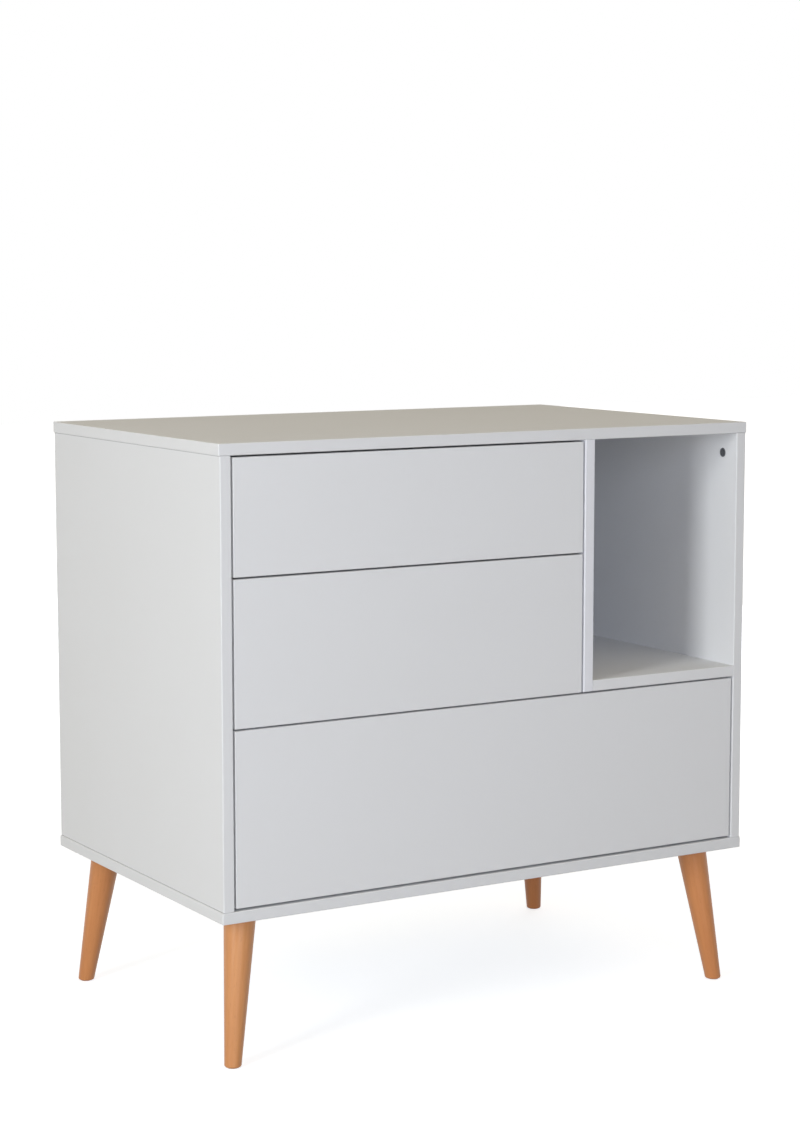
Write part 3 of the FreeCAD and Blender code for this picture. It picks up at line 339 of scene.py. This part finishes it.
FINISHES = {
    "lacquered_board": lacquer("lacquered_board", FRONT_SHADES),
    "drawer_box_board": melamine(),
    "hardboard": hardboard(),
    "dowel_wood": raw_wood(),
    "plated_steel": steel("plated_steel", dark=srgb(168, 170, 172), light=srgb(205, 206, 208),
                          roughness=0.28, streak=(1, 0.03, 1)),
    "bearing_steel": steel("bearing_steel", dark=srgb(150, 151, 153), light=srgb(200, 201, 203),
                           roughness=0.16, streak=(1, 0.05, 1)),
    "cam_metal": steel("cam_metal", dark=srgb(132, 134, 138), light=srgb(168, 170, 174),
                       roughness=0.42, streak=(1, 1, 1)),
    "catch_plastic": moulded("catch_plastic", colour=srgb(122, 124, 126),
                             shade=srgb(110, 112, 114), roughness=0.5),
    "glide_plastic": moulded("glide_plastic", colour=srgb(206, 200, 190),
                             shade=srgb(196, 190, 180), roughness=0.5),
}


def paint_nodes():
    """Gives every CAD node the finish of its slot, and legs and carcass boards their own, whose
    tones hold painted light and shade.
    """
    slots = {part["node"]: part["material_slot"] for part in frame["record"]["subparts"]}
    low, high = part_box(LEFT_PANEL)
    seams = ((low.z, LOWER_SEAM), (high.z, UPPER_SEAM))
    for name, node in nodes.items():
        if slots[name] == "lacquered_beech":
            finish = beech(f"{name}_beech", leg_axis(name), LEG_TONES_AND_LIGHT[name])
        # The carcass boards' own greys hold painted light and shade.
        elif name in BOARD_SHADES_AND_LIGHT:
            finish = lacquer(f"{name}_lacquer", BOARD_SHADES_AND_LIGHT[name],
                             seams if name in (LEFT_PANEL, RIGHT_PANEL) else ())
        else:
            finish = FINISHES[slots[name]]
        node.data.materials.clear()
        node.data.materials.append(finish)


def leg_axis(name):
    """The direction of a leg, from the middle of its foot to the middle of its top."""
    points = [vertex.co for vertex in nodes[name].data.vertices]
    low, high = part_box(name)

    def middle(ring):
        return sum(ring, Vector()) / len(ring)

    top = middle([point for point in points if point.z > high.z - LEG_END_BAND])
    foot = middle([point for point in points if point.z < low.z + LEG_END_BAND])
    return (top - foot).normalized()


# ---------------------------------------------------------------- camera

# The photograph's camera: its focal length in pixels, its angles in degrees. The sensor, in
# millimetres, spans the picture's longer side, which is its height.
PHOTO_HEIGHT = 1134
SENSOR = 36
FOCAL_PIXELS = 2490.0
CAMERA_PLACE = (-2.1143, -3.5121, 1.2002)
CAMERA_YAW = 31.061
CAMERA_PITCH = 6.930
CAMERA_ROLL = 0.029


def camera():
    """The camera of the photograph, from its fitted place, direction and focal length."""
    data = bpy.data.cameras.new("camera")
    data.sensor_width = SENSOR
    data.lens = FOCAL_PIXELS * SENSOR / PHOTO_HEIGHT
    item = bpy.data.objects.new("camera", data)
    item.location = CAMERA_PLACE
    item.rotation_euler = Euler((math.radians(90 - CAMERA_PITCH), math.radians(CAMERA_ROLL),
                                 math.radians(-CAMERA_YAW)), "XYZ")
    scene.collection.objects.link(item)
    scene.camera = item


# ---------------------------------------------------------------- floor

# The floor's lift to white is least within its shaded radius and full from its white one.
FLOOR_HALF = 14.0
FLOOR_WHITE = srgb(205, 205, 206)
FLOOR_LIFT = 0.74
FLOOR_LIFT_COLOUR = (0.96, 0.98, 1.0, 1.0)
FLOOR_SHADED, FLOOR_WHITE_FROM = 0.8, 3.0


def floor():
    """A plain white floor, wide enough for every view, that keeps the dresser's shadow."""
    mesh = bpy.data.meshes.new("floor")
    corners = [(x * FLOOR_HALF, y * FLOOR_HALF, 0)
               for x, y in ((-1, -1), (1, -1), (1, 1), (-1, 1))]
    mesh.from_pydata(corners, [], [(0, 1, 2, 3)])
    item = bpy.data.objects.new("floor", mesh)
    scene.collection.objects.link(item)
    item.data.materials.append(floor_finish())


def floor_finish():
    """A white floor: the camera and reflections see it lifted to the backdrop's white.

    Round the dresser the lift is less, so that its shadow shows.
    """
    recipe = Recipe("floor")
    distance = recipe.add("ShaderNodeVectorMath", operation="LENGTH")
    recipe.link(recipe.place, distance.inputs[0])
    lift = recipe.between(distance.outputs["Value"], start=FLOOR_SHADED, stop=FLOOR_WHITE_FROM,
                          first=FLOOR_LIFT, last=1.0)
    recipe.set(Base_Color=FLOOR_WHITE, Roughness=0.9, Specular_IOR_Level=0.0,
               Emission_Color=FLOOR_LIFT_COLOUR,
               Emission_Strength=recipe.math("MULTIPLY", backdrop_rays(recipe), lift))
    return recipe.material


def backdrop_rays(recipe):
    """1 for camera, reflection and transmission rays, 0 for the rays that light the object."""
    paths = recipe.add("ShaderNodeLightPath").outputs
    seen = recipe.math("MAXIMUM", paths["Is Camera Ray"], paths["Is Glossy Ray"])
    return recipe.math("MAXIMUM", seen, paths["Is Transmission Ray"])


# ---------------------------------------------------------------- sky and lights

# The sky's light rises from low to high between two heights of its unit direction.
FILL_FROM, FILL_FULL = 0.35, 0.80
FILL_LOW = (0.0, 0.0, 0.01, 1.0)
FILL_HIGH = (0.65, 0.58, 0.447, 1.0)

KEY_COLOUR = (0.965, 0.99, 1.0)
FRONT_COLOUR = (0.79, 0.842, 0.965)
REAR_COLOUR = (0.86, 0.91, 1.0)


class SkyRecipe(Recipe):
    """A recipe for the world: the same calls, on the world's node tree."""

    def __init__(self, name):
        self.world = bpy.data.worlds.new(name)
        self.world.use_nodes = True
        self.tree = self.world.node_tree
        self.shader = self.tree.nodes["Background"]


def world():
    """White where it is seen; its light on the object is warm and comes from overhead."""
    recipe = SkyRecipe("studio")
    direction = recipe.add("ShaderNodeTexCoord").outputs["Generated"]
    height = recipe.add("ShaderNodeSeparateXYZ")
    recipe.link(direction, height.inputs["Vector"])
    fill = recipe.ramp(height.outputs["Z"], [(FILL_FROM, FILL_LOW), (FILL_FULL, FILL_HIGH)])
    recipe.set(Color=recipe.mix(backdrop_rays(recipe), fill, WHITE), Strength=1.0)
    scene.world = recipe.world


def area_light(name, size_x, size_y, power, place, target, colour):
    """A rectangular softbox at a place, facing a target."""
    data = bpy.data.lights.new(name, "AREA")
    data.shape = "RECTANGLE"
    data.size = size_x
    data.size_y = size_y
    data.energy = power
    data.color = colour
    item = bpy.data.objects.new(name, data)
    item.location = place
    item.rotation_mode = "QUATERNION"
    item.rotation_quaternion = (Vector(target) - Vector(place)).to_track_quat("-Z", "Y")
    scene.collection.objects.link(item)


def lights():
    """A tall softbox at the left, a broad one near the camera, and a low one at the rear.

    The low one stays under the height of the top panel: it lights the back and the right
    side, but not the top.
    """
    area_light("key", size_x=1.0, size_y=2.6, power=114, place=(-4.45, -1.89, 1.80),
               target=(0.1, -0.1, 0.6), colour=KEY_COLOUR)
    area_light("front", size_x=2.0, size_y=2.2, power=83, place=(-1.71, -4.70, 1.5),
               target=(0, 0, 0.5), colour=FRONT_COLOUR)
    area_light("rear", size_x=3.2, size_y=0.62, power=125, place=(3.3, 3.5, 0.60),
               target=(0, 0, 0.60), colour=REAR_COLOUR)


# ---------------------------------------------------------------- the scene

paint_nodes()
camera()
floor()
world()
lights()

scene.view_settings.view_transform = "Standard"
